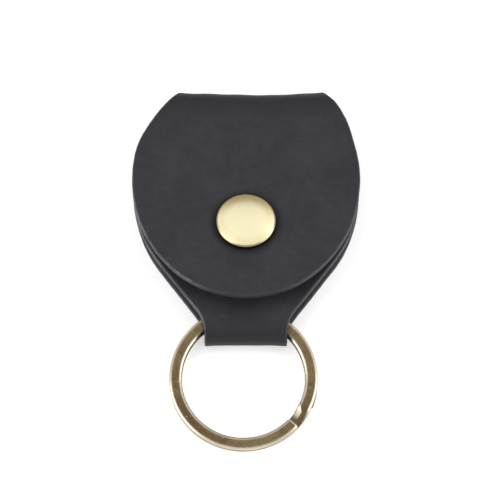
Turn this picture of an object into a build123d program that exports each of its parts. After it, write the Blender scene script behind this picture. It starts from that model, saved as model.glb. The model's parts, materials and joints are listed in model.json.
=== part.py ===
from build123d import *

import os
from math import acos, asin, atan2, cos, degrees, hypot, radians, sin, sqrt, tan

# Folding leather pick holder on a split key ring, closed by a ring-spring snap fastener.
#
# One leather blank is folded twice. Its back panel lies flat on the XY plane. At its -Y end the neck folds
# round the split ring and comes back as the front panel, which leans down to its free edge, the mouth of the
# pocket. At its +Y end the top fold carries the flap over the front panel, and the flap snaps onto it.
#
# Millimetres. +Z up from the table, +X across the holder, +Y from the ring to the top fold. The origin is on
# the table, under the middle of the overall length and width.

# ---- Leather blank ----
leather_t = 1.8
lobe_width = 55.0
lobe_length = 63.6
fold_reach = 24.55  # lobe centre to the outermost line of the top fold
loop_reach = 40.7  # lobe centre to the outermost line of the ring loop
pocket_reach = 11.2  # lobe centre to the pocket's mouth
mouth_radius = 6.0  # corners of the pocket's mouth
mouth_gap = 0.3  # clear height at the mouth with no pick in the pocket
neck_width = 19.5
neck_straight = 5.05  # outermost line of the ring loop to the corner where the neck starts to flare
neck_fillet = 10.0
bend_half = 3.0  # half the length of leather that bends at the neck and at the front panel's root

# ---- Split ring ----
ring_outer_d = 35.0
ring_band = 3.0
turn_t = 1.25
turn_gap = 0.05  # air between the two turns
face_bevel = 0.50  # on the edges of the outer faces, across the band
side_bevel = 0.34  # the same bevel, down the band's sides
seam_bevel = 0.12  # on the edges where the turns meet
upper_end_angle = -43.0  # cut end of the upper turn, from +X
jog_top_angle = -25.5  # where the band starts to step down
lower_end_angle = -24.5  # cut end of the lower turn
jog_sections = 7

# ---- Fit of the ring in the loop ----
loop_slack = 1.3  # height inside the loop beyond the ring's thickness
ring_lift = 0.15  # ring's underside above the back layer, at the neck's sides
ring_bed = 0.95  # ring's inner edge to the loop's inner line, at the neck's sides

# ---- Snap fastener ----
snap_offset = 12.8  # lobe centre to the snap's centre
brass_t = 0.35
seat_gap = 0.02  # air between brass pieces that are pressed together
post_radius = 1.95
post_bore = 1.55
post_clearance = 0.15
roll_width = 0.7  # rolled-out end of the cap's post
cap_radius = 7.25
cap_height = 1.75
cap_shoulder = 1.15  # size of the rounded shoulder round the dome
cap_lip = 1.0
flange_clearance = 0.2
eyelet_radius = 4.75
eyelet_head_t = 0.55
stud_flange_radius = 5.5
stud_neck_radius = 2.6
stud_bulb_radius = 3.0
stud_bulb_t = 0.55
stud_roof_gap = 0.25  # stud's top to the barrel's rolled end above it
socket_radius = 6.0
socket_standoff = 0.75  # front panel to the socket's mouth
mouth_clearance = 0.25  # stud's bulb to the socket's mouth
spring_wire = 0.62
spring_clearance = 0.08
spring_gap_angle = 40.0
cage_room = 1.5  # socket's mouth to the outside of the collar that cages the spring

# ---- Worked-out heights of the snap, above the front panel ----
cage_low = socket_standoff + brass_t
cage_high = cage_low + spring_wire + 2 * spring_clearance
bulb_low = cage_high + stud_bulb_radius - stud_neck_radius
stud_top = bulb_low + stud_bulb_t
roll_low = stud_top + stud_roof_gap
flap_low = roll_low + 2 * brass_t + seat_gap  # leather to leather when the snap is shut
flap_high = flap_low + leather_t

# ---- Worked-out sizes of the loop, the ring and the lobe ----
ring_outer_r = ring_outer_d / 2
ring_inner_r = ring_outer_r - ring_band
ring_t = 2 * turn_t + turn_gap
neck_half = neck_width / 2
side_drop = sqrt(ring_inner_r**2 - neck_half**2)  # ring's centre to its inner edge at the neck's sides
ring_tilt = degrees(asin((leather_t + ring_lift) / (ring_outer_r + side_drop)))

loop_gap = ring_t + loop_slack
loop_r = loop_gap / 2
loop_from_lobe = leather_t + loop_r - loop_reach
ring_from_lobe = loop_from_lobe - loop_r + ring_bed - side_drop
overall_length = fold_reach - ring_from_lobe + ring_outer_r * cos(radians(ring_tilt))
lobe_y = overall_length / 2 - fold_reach
fold_out_y = lobe_y + fold_reach
loop_y = lobe_y + loop_from_lobe
loop_z = leather_t + loop_r
ring_y = lobe_y + ring_from_lobe
ring_z = ring_outer_r * sin(radians(ring_tilt))
neck_hinge_y = ring_y + ring_outer_r + bend_half
pocket_hinge_y = neck_hinge_y + 2 * bend_half
pocket_end_y = lobe_y + pocket_reach
snap_y = lobe_y - snap_offset

# ---- The lean of the front panel and of the flap, which is parallel to it ----
lean = degrees(atan2(loop_gap - mouth_gap, pocket_end_y - loop_y))
lean_sin = sin(radians(lean))
lean_cos = cos(radians(lean))
snap_z = loop_z + (loop_r + leather_t - (snap_y - loop_y) * lean_sin) / lean_cos

# The top fold touches the back panel's upper face and the flap's underside.
fold_r = (
    flap_low + (snap_z - leather_t) * lean_cos - (fold_out_y - leather_t - snap_y) * lean_sin
) / (1 + lean_cos - lean_sin)
fold_y = fold_out_y - leather_t - fold_r
fold_z = leather_t + fold_r

# ---- Planes and axes ----
# In the snap's own frame, Z runs along its axis and zero is the front panel's upper face.
snap_plane = Plane(origin=(0, snap_y, snap_z), x_dir=(1, 0, 0), z_dir=(0, lean_sin, lean_cos))
snap_section = Plane(origin=(0, snap_y, snap_z), x_dir=(1, 0, 0), z_dir=(0, -lean_cos, lean_sin))
snap_axis = Axis((0, snap_y, snap_z), (0, lean_sin, lean_cos))
ring_plane = Plane(
    origin=(0, ring_y, ring_z),
    x_dir=(1, 0, 0),
    z_dir=(0, -sin(radians(ring_tilt)), cos(radians(ring_tilt))),
)
ring_axis = Axis(ring_plane.origin, ring_plane.z_dir)


def leaning_z(y, rise):
    """Height at y of the plane that lies parallel to the front panel, a rise above its upper face."""
    return snap_z + rise / lean_cos - (y - snap_y) * tan(radians(lean))


def front_layer(y_from, y_to):
    """Corners of the front layer's section between two places along Y."""
    return [
        (y_from, leaning_z(y_from, -leather_t)),
        (y_to, leaning_z(y_to, -leather_t)),
        (y_to, leaning_z(y_to, 0)),
        (y_from, leaning_z(y_from, 0)),
    ]


def blank_prism(neck=True, mouth=False):
    """Cuts the part under way to the blank's outline: the oval lobe, with the neck and the mouth if asked."""
    half_w = lobe_width / 2
    half_l = lobe_length / 2
    meet_y = lobe_y - loop_reach + neck_straight
    bearing = atan2((meet_y - lobe_y) / half_l, neck_half / half_w)
    distance = hypot((meet_y - lobe_y) / half_l, neck_half / half_w)
    tangent_x = half_w * cos(bearing + acos(1 / distance))
    tangent_y = lobe_y + half_l * sin(bearing + acos(1 / distance))
    end_y = lobe_y - loop_reach - leather_t
    with BuildSketch(Plane.XY) as outline:
        with Locations((0, lobe_y)):
            Ellipse(half_w, half_l)
        if neck:
            with BuildLine():
                Polyline((0, end_y), (neck_half, end_y), (neck_half, meet_y), (tangent_x, tangent_y))
                Line((tangent_x, tangent_y), (0, tangent_y))
                Line((0, tangent_y), (0, end_y))
            make_face()
            mirror(about=Plane.YZ)
            flare_corners = outline.vertices().filter_by_position(Axis.Y, meet_y - 0.01, meet_y + 0.01)
            fillet(flare_corners, radius=neck_fillet)
        if mouth:
            with Locations((0, pocket_end_y - overall_length / 2)):
                Rectangle(lobe_width, overall_length, mode=Mode.INTERSECT)
            fillet(outline.vertices().group_by(Axis.Y)[-1], radius=mouth_radius)
    extrude(outline.sketch, amount=overall_length, both=True, mode=Mode.INTERSECT)


def punch_for_post():
    """Punches the hole for a post through the part under way, along the snap's axis."""
    with BuildSketch(snap_plane) as hole:
        Circle(post_radius + post_clearance)
    extrude(hole.sketch, amount=2 * flap_high, both=True, mode=Mode.SUBTRACT)


# ---- Back panel: flat on the table, from the neck to the top fold ----
with BuildPart() as back_panel:
    with BuildSketch(Plane.YZ):
        with Locations(((neck_hinge_y + fold_y) / 2, leather_t / 2)):
            Rectangle(fold_y - neck_hinge_y, leather_t)
    extrude(amount=lobe_width, both=True)
    blank_prism()

# ---- Top fold: the bend that carries the flap over from the back panel ----
with BuildPart() as top_fold:
    with BuildSketch(Plane.YZ):
        with BuildLine():
            fold_outer = CenterArc((fold_y, fold_z), fold_r + leather_t, -90, 180 - lean)
            fold_inner = CenterArc((fold_y, fold_z), fold_r, -90, 180 - lean)
            Line(fold_outer @ 0, fold_inner @ 0)
            fold_end = Line(fold_outer @ 1, fold_inner @ 1)
        make_face()
    extrude(amount=lobe_width, both=True)
    blank_prism(neck=False)

# ---- Flap: from the top fold over the front panel to its round free end ----
with BuildPart() as flap_panel:
    tip_y = lobe_y - lobe_length / 2 - leather_t
    with BuildSketch(Plane.YZ):
        with BuildLine():
            Polyline(
                fold_end @ 0,
                fold_end @ 1,
                (tip_y, leaning_z(tip_y, flap_low)),
                (tip_y, leaning_z(tip_y, flap_high)),
                close=True,
            )
        make_face()
    extrude(amount=lobe_width, both=True)
    blank_prism(neck=False)
    punch_for_post()

# ---- Ring loop: both layers of the neck, and the bend between them that the ring passes through ----
with BuildPart() as neck_loop:
    with BuildSketch(Plane.YZ):
        with BuildLine():
            loop_outer = CenterArc((loop_y, loop_z), loop_r + leather_t, -90, -(180 + lean))
            loop_inner = CenterArc((loop_y, loop_z), loop_r, -90, -(180 + lean))
            Polyline(loop_outer @ 0, (neck_hinge_y, 0), (neck_hinge_y, leather_t), loop_inner @ 0)
            Polyline(
                loop_inner @ 1,
                (neck_hinge_y, leaning_z(neck_hinge_y, -leather_t)),
                (neck_hinge_y, leaning_z(neck_hinge_y, 0)),
                loop_outer @ 1,
            )
        make_face()
    extrude(amount=lobe_width, both=True)
    blank_prism()

# ---- Front root: the strip of the front layer between the neck and the front panel, which bends ----
with BuildPart() as front_root:
    with BuildSketch(Plane.YZ):
        with BuildLine():
            Polyline(*front_layer(neck_hinge_y, pocket_hinge_y), close=True)
        make_face()
    extrude(amount=lobe_width, both=True)
    blank_prism()

# ---- Front panel: leans down over the pocket to its mouth, which has rounded corners ----
with BuildPart() as front_panel:
    with BuildSketch(Plane.YZ):
        with BuildLine():
            Polyline(*front_layer(pocket_hinge_y, pocket_end_y), close=True)
        make_face()
    extrude(amount=lobe_width, both=True)
    blank_prism(mouth=True)
    punch_for_post()


# ---- Split ring: one flat band wound twice, stepping from the upper turn down to the lower one ----
def band_section(angle, step):
    """Section of the band at an angle from +X. The step runs from 0 on the upper turn to 1 on the lower."""
    low = (turn_t + turn_gap) * (1 - step)
    top_face = face_bevel + (seam_bevel - face_bevel) * step
    top_side = side_bevel + (seam_bevel - side_bevel) * step
    low_face = seam_bevel + (face_bevel - seam_bevel) * step
    low_side = seam_bevel + (side_bevel - seam_bevel) * step
    turned = ring_plane.location * Location((0, 0, low), (0, 0, angle))
    radial = Plane(turned * Location((0, 0, 0), (90, 0, 0)))
    with BuildSketch(radial) as section:
        with BuildLine():
            Polyline(
                (ring_inner_r + low_face, 0),
                (ring_outer_r - low_face, 0),
                (ring_outer_r, low_side),
                (ring_outer_r, turn_t - top_side),
                (ring_outer_r - top_face, turn_t),
                (ring_inner_r + top_face, turn_t),
                (ring_inner_r, turn_t - top_side),
                (ring_inner_r, low_side),
                close=True,
            )
        make_face()
    return section.sketch


with BuildPart() as split_ring:
    jog_low_angle = upper_end_angle + 0.5
    add(band_section(jog_top_angle, 0))
    revolve(axis=ring_axis, revolution_arc=360 + upper_end_angle - jog_top_angle)
    add(band_section(lower_end_angle, 1))
    revolve(axis=ring_axis, revolution_arc=360 + jog_low_angle - lower_end_angle)
    for i in range(jog_sections):
        share = i / (jog_sections - 1)
        step = share**2 * (3 - 2 * share)
        add(band_section(jog_top_angle + (jog_low_angle - jog_top_angle) * share, step))
    loft()

# ---- Snap cap: a shallow dome with a rounded shoulder and a lip rolled under its edge ----
with BuildPart() as snap_cap:
    cap_top = flap_high + cap_height
    cap_rim = flap_high + brass_t
    wall_r = cap_radius - 1.5 * brass_t
    dome_edge = cap_radius - cap_shoulder / 2
    dome_drop = cap_shoulder / 2
    dome_r = (dome_edge**2 + dome_drop**2) / (2 * dome_drop)
    dome_sweep = degrees(asin(dome_edge / dome_r))
    with BuildSketch(snap_section):
        with BuildLine():
            dome = CenterArc((0, cap_top - dome_r), dome_r, 90, -dome_sweep)
            TangentArc(dome @ 1, (cap_radius, cap_rim), tangent=dome % 1)
            inside = CenterArc((0, cap_top - dome_r), dome_r - brass_t, 90, -dome_sweep)
            Polyline(
                (cap_radius, cap_rim),
                (cap_radius - brass_t, flap_high),
                (cap_radius - cap_lip, flap_high),
                (cap_radius - cap_lip, cap_rim),
                (wall_r, cap_rim),
                inside @ 1,
            )
            Line(inside @ 0, dome @ 0)
        make_face()
    revolve(axis=snap_axis)

# ---- Snap barrel: the cap's hollow post, whose flange the lip traps, set through the flap ----
with BuildPart() as snap_barrel:
    tray_r = cap_radius - cap_lip - brass_t
    seat = cap_rim + seat_gap
    with BuildSketch(snap_section):
        with BuildLine():
            Polyline(
                (post_bore, flap_high + brass_t),
                (post_bore, roll_low),
                (post_radius + roll_width, roll_low),
                (post_radius + roll_width, roll_low + brass_t),
                (post_radius, roll_low + brass_t),
                (post_radius, flap_high),
                (tray_r, flap_high),
                (tray_r, seat),
                (wall_r - flange_clearance, seat),
                (wall_r - flange_clearance, seat + brass_t / 2),
                (tray_r - brass_t, seat + brass_t / 2),
                (tray_r - brass_t, flap_high + brass_t),
                close=True,
            )
        make_face()
    revolve(axis=snap_axis)

# ---- Snap socket: the drawn box under the flap, with the stud's mouth and a collar that cages the spring ----
with BuildPart() as snap_socket:
    mouth_r = stud_bulb_radius + mouth_clearance
    collar_r = mouth_r + cage_room
    with BuildSketch(snap_section):
        with BuildLine():
            Polyline(
                (mouth_r, socket_standoff),
                (socket_radius - brass_t, socket_standoff),
                (socket_radius, cage_low),
                (socket_radius, flap_low),
                (post_radius + post_clearance, flap_low),
                (post_radius + post_clearance, flap_low - brass_t),
                (socket_radius - brass_t, flap_low - brass_t),
                (socket_radius - brass_t, cage_low),
                (collar_r, cage_low),
                (collar_r, cage_high + brass_t),
                (mouth_r, cage_high + brass_t),
                (mouth_r, cage_high),
                (collar_r - brass_t, cage_high),
                (collar_r - brass_t, cage_low),
                (mouth_r, cage_low),
                close=True,
            )
        make_face()
    revolve(axis=snap_axis)

# ---- Snap spring: a split ring of round wire in the socket's cage, which closes under the stud's bulb ----
with BuildPart() as snap_spring:
    with BuildSketch(snap_section):
        with Locations((stud_neck_radius + spring_clearance + spring_wire / 2, (cage_low + cage_high) / 2)):
            Circle(spring_wire / 2)
    revolve(axis=snap_axis, revolution_arc=360 - spring_gap_angle)

# ---- Snap stud: a flanged, waisted button on the front panel, open down its middle for the eyelet ----
with BuildPart() as snap_stud:
    stud_bore = stud_neck_radius - brass_t
    with BuildSketch(snap_section):
        with BuildLine():
            Polyline(
                (post_radius + seat_gap, 0),
                (stud_flange_radius, 0),
                (stud_flange_radius, brass_t / 2),
                (stud_flange_radius - brass_t, brass_t),
                (stud_neck_radius + brass_t, brass_t),
                (stud_neck_radius, 2 * brass_t),
                (stud_neck_radius, cage_high),
                (stud_bulb_radius, bulb_low),
                (stud_bulb_radius, stud_top - brass_t),
                (stud_bulb_radius - brass_t, stud_top),
                (stud_bore, stud_top),
                (stud_bore, brass_t),
                (post_radius + seat_gap, brass_t),
                close=True,
            )
        make_face()
    revolve(axis=snap_axis)

# ---- Snap eyelet: the hollow rivet that holds the stud, with its head inside the pocket ----
with BuildPart() as snap_eyelet:
    head_low = -leather_t - eyelet_head_t
    flare_low = brass_t + seat_gap
    with BuildSketch(snap_section):
        with BuildLine():
            Polyline(
                (post_bore, head_low),
                (eyelet_radius - brass_t, head_low),
                (eyelet_radius, head_low + brass_t),
                (eyelet_radius, -leather_t),
                (post_radius, -leather_t),
                (post_radius, flare_low),
                (stud_bore - seat_gap, flare_low),
                (stud_bore - seat_gap, flare_low + brass_t / 2),
                (post_bore, flare_low + brass_t),
                close=True,
            )
        make_face()
    revolve(axis=snap_axis)

# ---- Labels and files ----
back_panel.part.label = "back_panel"
top_fold.part.label = "top_fold"
flap_panel.part.label = "flap_panel"
neck_loop.part.label = "neck_loop"
front_root.part.label = "front_root"
front_panel.part.label = "front_panel"
split_ring.part.label = "split_ring"
snap_cap.part.label = "snap_cap"
snap_barrel.part.label = "snap_barrel"
snap_socket.part.label = "snap_socket"
snap_spring.part.label = "snap_spring"
snap_stud.part.label = "snap_stud"
snap_eyelet.part.label = "snap_eyelet"

os.makedirs("parts", exist_ok=True)
export_step(back_panel.part, "parts/back_panel.step")
export_step(top_fold.part, "parts/top_fold.step")
export_step(flap_panel.part, "parts/flap_panel.step")
export_step(neck_loop.part, "parts/neck_loop.step")
export_step(front_root.part, "parts/front_root.step")
export_step(front_panel.part, "parts/front_panel.step")
export_step(split_ring.part, "parts/split_ring.step")
export_step(snap_cap.part, "parts/snap_cap.step")
export_step(snap_barrel.part, "parts/snap_barrel.step")
export_step(snap_socket.part, "parts/snap_socket.step")
export_step(snap_spring.part, "parts/snap_spring.step")
export_step(snap_stud.part, "parts/snap_stud.step")
export_step(snap_eyelet.part, "parts/snap_eyelet.step")

print(f"lean {lean:.3f} deg, ring tilt {ring_tilt:.3f} deg, overall length {overall_length:.3f} mm")
print(f"lobe y {lobe_y:.3f}, snap y {snap_y:.3f} z {snap_z:.3f}, mouth y {pocket_end_y:.3f}")
print(f"top fold y {fold_y:.3f} z {fold_z:.3f} radius {fold_r:.3f}, outermost y {fold_out_y:.3f}")
print(f"loop y {loop_y:.3f} z {loop_z:.3f} radius {loop_r:.3f}, ring y {ring_y:.3f} z {ring_z:.3f}")
print(f"neck hinge y {neck_hinge_y:.3f}, pocket hinge y {pocket_hinge_y:.3f}")
print(f"front layer's upper face at the pocket hinge z {leaning_z(pocket_hinge_y, 0):.3f}")
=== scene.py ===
import json
import logging
import math
from dataclasses import dataclass
from enum import Enum
from typing import Any, Callable, Sequence

import bmesh
import bpy
import numpy as np
from mathutils import Matrix, Vector
from mathutils.geometry import delaunay_2d_cdt


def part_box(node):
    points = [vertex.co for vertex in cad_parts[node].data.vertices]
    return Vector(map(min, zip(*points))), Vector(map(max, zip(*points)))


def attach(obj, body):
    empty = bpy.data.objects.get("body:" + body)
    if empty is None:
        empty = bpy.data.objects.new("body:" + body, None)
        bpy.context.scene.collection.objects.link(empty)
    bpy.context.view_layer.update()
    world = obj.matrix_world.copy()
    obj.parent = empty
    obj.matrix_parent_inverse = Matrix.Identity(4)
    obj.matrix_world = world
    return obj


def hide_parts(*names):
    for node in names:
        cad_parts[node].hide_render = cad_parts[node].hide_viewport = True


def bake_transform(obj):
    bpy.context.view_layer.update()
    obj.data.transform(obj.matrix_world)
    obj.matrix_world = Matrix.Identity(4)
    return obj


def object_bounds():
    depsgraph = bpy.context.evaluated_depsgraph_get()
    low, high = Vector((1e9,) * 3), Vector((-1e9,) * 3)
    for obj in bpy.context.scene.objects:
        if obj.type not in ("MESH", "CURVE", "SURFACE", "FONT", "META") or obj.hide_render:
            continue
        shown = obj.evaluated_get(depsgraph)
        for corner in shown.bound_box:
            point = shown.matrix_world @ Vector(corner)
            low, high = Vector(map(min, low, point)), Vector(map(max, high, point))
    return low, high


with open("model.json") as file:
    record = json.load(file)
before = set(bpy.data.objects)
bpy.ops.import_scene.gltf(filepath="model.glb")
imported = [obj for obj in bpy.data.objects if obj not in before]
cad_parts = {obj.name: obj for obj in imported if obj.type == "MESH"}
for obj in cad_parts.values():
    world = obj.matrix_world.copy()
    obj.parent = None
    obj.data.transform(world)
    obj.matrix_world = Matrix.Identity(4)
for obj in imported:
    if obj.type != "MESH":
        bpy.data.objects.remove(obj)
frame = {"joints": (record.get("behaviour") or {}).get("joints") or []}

CAD_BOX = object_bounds()
MM = 0.001
TURN = 2 * math.pi
log = logging.getLogger("pick_holder")

Array = np.ndarray
Colour = tuple[float, float, float, float]
Options = dict | None
Profile = Sequence[tuple[float, float]]
Rule = Callable[[Array, Array], Array]


# ---- Node trees ----
def operator(operation: str, swapped: bool = False) -> Callable:
    """Makes an arithmetic method for expressions.

    Args:
        operation: The Math node's operation.
        swapped: Whether the other value comes first, as in a reflected form.

    Returns:
        The method.
    """

    def method(self: "Expression", other: Any) -> "Expression":
        """Returns the operation's result as a new Math node."""
        return self.web.math(operation, *((other, self) if swapped else (self, other)))

    return method


class Expression:
    """A node socket that takes part in arithmetic."""

    __add__, __radd__ = operator("ADD"), operator("ADD", True)
    __sub__, __rsub__ = operator("SUBTRACT"), operator("SUBTRACT", True)
    __mul__, __rmul__ = operator("MULTIPLY"), operator("MULTIPLY", True)
    __truediv__, __pow__ = operator("DIVIDE"), operator("POWER")

    def __init__(self, web: "NodeWeb", socket: bpy.types.NodeSocket) -> None:
        """Wraps an output socket that carries a number."""
        self.web = web
        self.socket = socket

    def clamp(self) -> "Expression":
        """Returns the value held between 0 and 1."""
        return self.web.math("MINIMUM", self.web.math("MAXIMUM", self, 0.0), 1.0)

    def step(self, low: float, high: float) -> "Expression":
        """Returns a smooth step.

        Args:
            low: The value where the step is at 0.
            high: The value where the step is at 1.

        Returns:
            A value from 0 to 1.
        """
        share = ((self - low) / (high - low)).clamp()
        return share * share * (3.0 - 2.0 * share)


class NodeWeb:
    """Adds nodes to one shader or geometry tree."""

    def __init__(self, tree: bpy.types.NodeTree) -> None:
        """Takes the tree to add to."""
        self.tree = tree

    def node(self, kind: str, settings: Options = None, sockets: Options = None) -> bpy.types.Node:
        """Adds a node.

        Args:
            kind: The node's type.
            settings: Its properties, set first.
            sockets: Values or links for its inputs, by name or number.

        Returns:
            The node.
        """
        made = self.tree.nodes.new(kind)
        for name, value in (settings or {}).items():
            setattr(made, name, value)
        for key, value in (sockets or {}).items():
            self.feed(made.inputs[key], value)
        return made

    def value(
        self, kind: str, output: str | int, settings: Options = None, sockets: Options = None
    ) -> Expression:
        """Adds a node and returns one of its outputs, by name or number, as an expression."""
        return Expression(self, self.node(kind, settings, sockets).outputs[output])

    def feed(self, socket: bpy.types.NodeSocket, value: Any) -> None:
        """Links an expression or a socket to an input, or sets the input's own value."""
        if isinstance(value, Expression):
            value = value.socket
        if isinstance(value, bpy.types.NodeSocket):
            self.tree.links.new(value, socket)
        else:
            socket.default_value = value

    def math(self, operation: str, *values: Any) -> Expression:
        """Adds a Math node and returns its result."""
        made = self.node("ShaderNodeMath", {"operation": operation}, dict(enumerate(values)))
        return Expression(self, made.outputs[0])

    def mix(self, factor: Any, first: Any, second: Any) -> Expression:
        """Mixes two colours.

        Args:
            factor: 0 for the first colour, 1 for the second.
            first: A colour or an expression.
            second: A colour or an expression.

        Returns:
            The mixed colour.
        """
        settings = {"data_type": "RGBA", "blend_type": "MIX"}
        return self.value("ShaderNodeMix", 2, settings, {0: factor, 6: first, 7: second})


def grey(value: float) -> Colour:
    """Returns a grey as a colour."""
    return (value, value, value, 1.0)


# ---- Finishes ----
class Mask(Enum):
    """Attributes that the meshes carry for their finishes, painted light and shade among them."""

    CUT = "cut_edge"
    FLESH = "flesh_side"
    BEND = "bend_wear"
    PRESS = "press_mark"
    BEVEL = "worn_bevel"
    LINE = "wall_line"
    RIM = "worn_rim"


class Finish:
    """A material under way, with its own nodes."""

    def __init__(self, name: str) -> None:
        """Starts an empty material of this name."""
        self.material = bpy.data.materials.new(name)
        self.material.use_nodes = True
        self.material.node_tree.nodes.clear()
        self.web = NodeWeb(self.material.node_tree)

    def coordinates(self, source: str, scale: Sequence[float] = (1.0, 1.0, 1.0)) -> Expression:
        """Returns stretched coordinates.

        Args:
            source: "Object", or the name of the piece's UV map.
            scale: How much each axis is stretched.

        Returns:
            A vector.
        """
        if source == "Object":
            vector = self.web.value("ShaderNodeTexCoord", "Object")
        else:
            vector = self.web.value("ShaderNodeUVMap", "UV", {"uv_map": source})
        return self.web.value("ShaderNodeMapping", 0, None, {"Vector": vector, "Scale": scale})

    def noise(
        self, vector: Expression | str, scale: float, detail: float, rough: float, warp: float = 0.0
    ) -> Expression:
        """Returns fractal noise, from 0 to 1, on a vector or on the coordinates of that name."""
        vector = self.coordinates(vector) if isinstance(vector, str) else vector
        sockets = {"Vector": vector, "Scale": scale, "Detail": detail, "Roughness": rough, "Distortion": warp}
        return self.web.value("ShaderNodeTexNoise", 0, None, sockets)

    def cells(self, vector: Expression, scale: float) -> Expression:
        """Returns the distance to the nearest edge of a Voronoi pattern on a vector."""
        sockets = {"Vector": vector, "Scale": scale}
        return self.web.value("ShaderNodeTexVoronoi", "Distance", {"feature": "DISTANCE_TO_EDGE"}, sockets)

    def brushed(self) -> Expression:
        """Returns fine scratches that run along the band, in the band's own millimetres."""
        band = self.web.value("ShaderNodeAttribute", "Vector", {"attribute_name": "band"})
        stretched = self.web.value("ShaderNodeMapping", 0, None, {"Vector": band, "Scale": (0.5, 1.0, 1.0)})
        return self.noise(stretched, 3.2, 5.0, 0.75)

    def mask(self, which: Mask) -> Expression:
        """Returns one of the piece's own masks."""
        return self.web.value("ShaderNodeAttribute", "Fac", {"attribute_name": which.value})

    def bump(self, height: Expression, distance: float, strength: float) -> Expression:
        """Returns a normal bent by a height, with its distance in metres."""
        sockets = {"Strength": strength, "Distance": distance, "Height": height}
        return self.web.value("ShaderNodeBump", 0, None, sockets)

    def finish(self, **sockets: Any) -> bpy.types.Material:
        """Adds the surface.

        Args:
            **sockets: Values of the surface shader's inputs, with underscores for spaces.

        Returns:
            The material.
        """
        named = {key.replace("_", " "): value for key, value in sockets.items()}
        surface = self.web.node("ShaderNodeBsdfPrincipled", None, named)
        self.web.node("ShaderNodeOutputMaterial", None, {"Surface": surface.outputs[0]})
        return self.material


@dataclass(frozen=True)
class Leather:
    """Matt waxed leather, dyed through, with a fibrous flesh side and burnished cut edges, and with painted
    shade in its bends and round the cap and painted light on its cut edges.
    """

    deep: Colour = (0.0245, 0.0232, 0.0290, 1.0)
    pale: Colour = (0.0370, 0.0352, 0.0428, 1.0)
    scuff: Colour = (0.062, 0.061, 0.068, 1.0)
    # Darker colour of the bends: rubbed wear, and painted shade where the leather turns away from the light.
    bent: Colour = (0.0115, 0.0105, 0.0120, 1.0)
    # Painted shadow on the flap round the cap's rim.
    pressed: Colour = (0.004, 0.0035, 0.004, 1.0)
    flesh: Colour = (0.040, 0.037, 0.038, 1.0)
    fibre: Colour = (0.075, 0.070, 0.068, 1.0)
    edge_dark: Colour = (0.030, 0.031, 0.036, 1.0)
    # Pale grey of the worn cut edges, also laid as painted light on the left and right edges and on each
    # edge's upper corner.
    edge_lit_worn: Colour = (0.200, 0.216, 0.235, 1.0)

    def build(self) -> bpy.types.Material:
        """Returns the material."""
        made = Finish("waxed_leather")
        web = made.web
        flat = made.coordinates("blank")
        clouds = made.noise(flat, 95.0, 3.0, 0.55, 0.6)
        mottle = made.noise(flat, 480.0, 4.0, 0.6)
        colour = web.mix((clouds * 0.6 + mottle * 0.4).step(0.34, 0.68), self.deep, self.pale)
        strokes = made.coordinates("blank", (1.0, 0.35, 1.0))
        rubbed = made.noise(strokes, 260.0, 5.0, 0.7, 1.2).step(0.62, 0.78)
        bend = made.mask(Mask.BEND)
        colour = web.mix(rubbed * (0.16 + bend * 0.24), colour, self.scuff)
        pores = made.cells(flat, 1500.0)
        grain = made.noise(flat, 2600.0, 4.0, 0.65)
        creases = made.noise(made.coordinates("blank", (0.22, 1.0, 1.0)), 900.0, 3.0, 0.6, 0.8)
        hair_height = pores.step(0.0, 0.16) * 0.45 + grain * 0.55 + creases * bend * 1.6
        fibres = made.noise(made.coordinates("blank", (1.0, 0.45, 1.0)), 2300.0, 5.0, 0.75, 2.0)
        fleshy = made.mask(Mask.FLESH)
        cut = made.mask(Mask.CUT)
        # Painted shade: the bends darken, as rubbed wear and as shade where the leather turns away from the
        # light.
        darker = bend * (0.36 + clouds * 0.4)
        colour = web.mix(darker, colour, self.bent)
        # Painted shadow: a near-black ring on the flap round the cap's rim.
        colour = web.mix(made.mask(Mask.PRESS) * 0.8, colour, self.pressed)
        flesh_colour = web.mix(fibres.step(0.35, 0.7), self.flesh, self.fibre)
        colour = web.mix(fleshy, colour, flesh_colour)
        streaks = made.noise("Object", 420.0, 4.0, 0.65)
        layers = made.noise(made.coordinates("Object", (0.5, 0.5, 3.0)), 1500.0, 3.0, 0.6)
        patches = made.noise("Object", 60.0, 2.0, 0.5)
        worn = (streaks * 0.25 + layers * 0.25 + patches * 0.5).step(0.34, 0.66)
        # Painted light: the cut edges grow paler towards the left, and less towards the right, as if lit from
        # those sides; worn patches break it up.
        across = web.value("ShaderNodeSeparateXYZ", 0, None, {0: made.coordinates("Object")})
        left, right = (across * -1.0).step(2 * MM, 16 * MM), across.step(14 * MM, 24 * MM)
        edge_colour = web.mix(worn * (0.08 + left * 0.85 + right * 0.40), self.edge_dark, self.edge_lit_worn)
        # Painted light: the edge mask gives each cut edge's upper corner the pale colour and leaves the rest
        # of it dark as painted shade.
        colour = web.mix(cut, colour, edge_colour)
        height = hair_height * (1.0 - fleshy) + fibres * fleshy * 2.6 + layers * cut * 0.6
        rough = 0.60 + clouds * 0.10 - bend * 0.05 + fleshy * 0.28 - cut * 0.16
        return made.finish(
            Base_Color=colour,
            Roughness=rough,
            Specular_IOR_Level=0.32,
            Normal=made.bump(height, 0.045 * MM, 0.55),
        )


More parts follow.
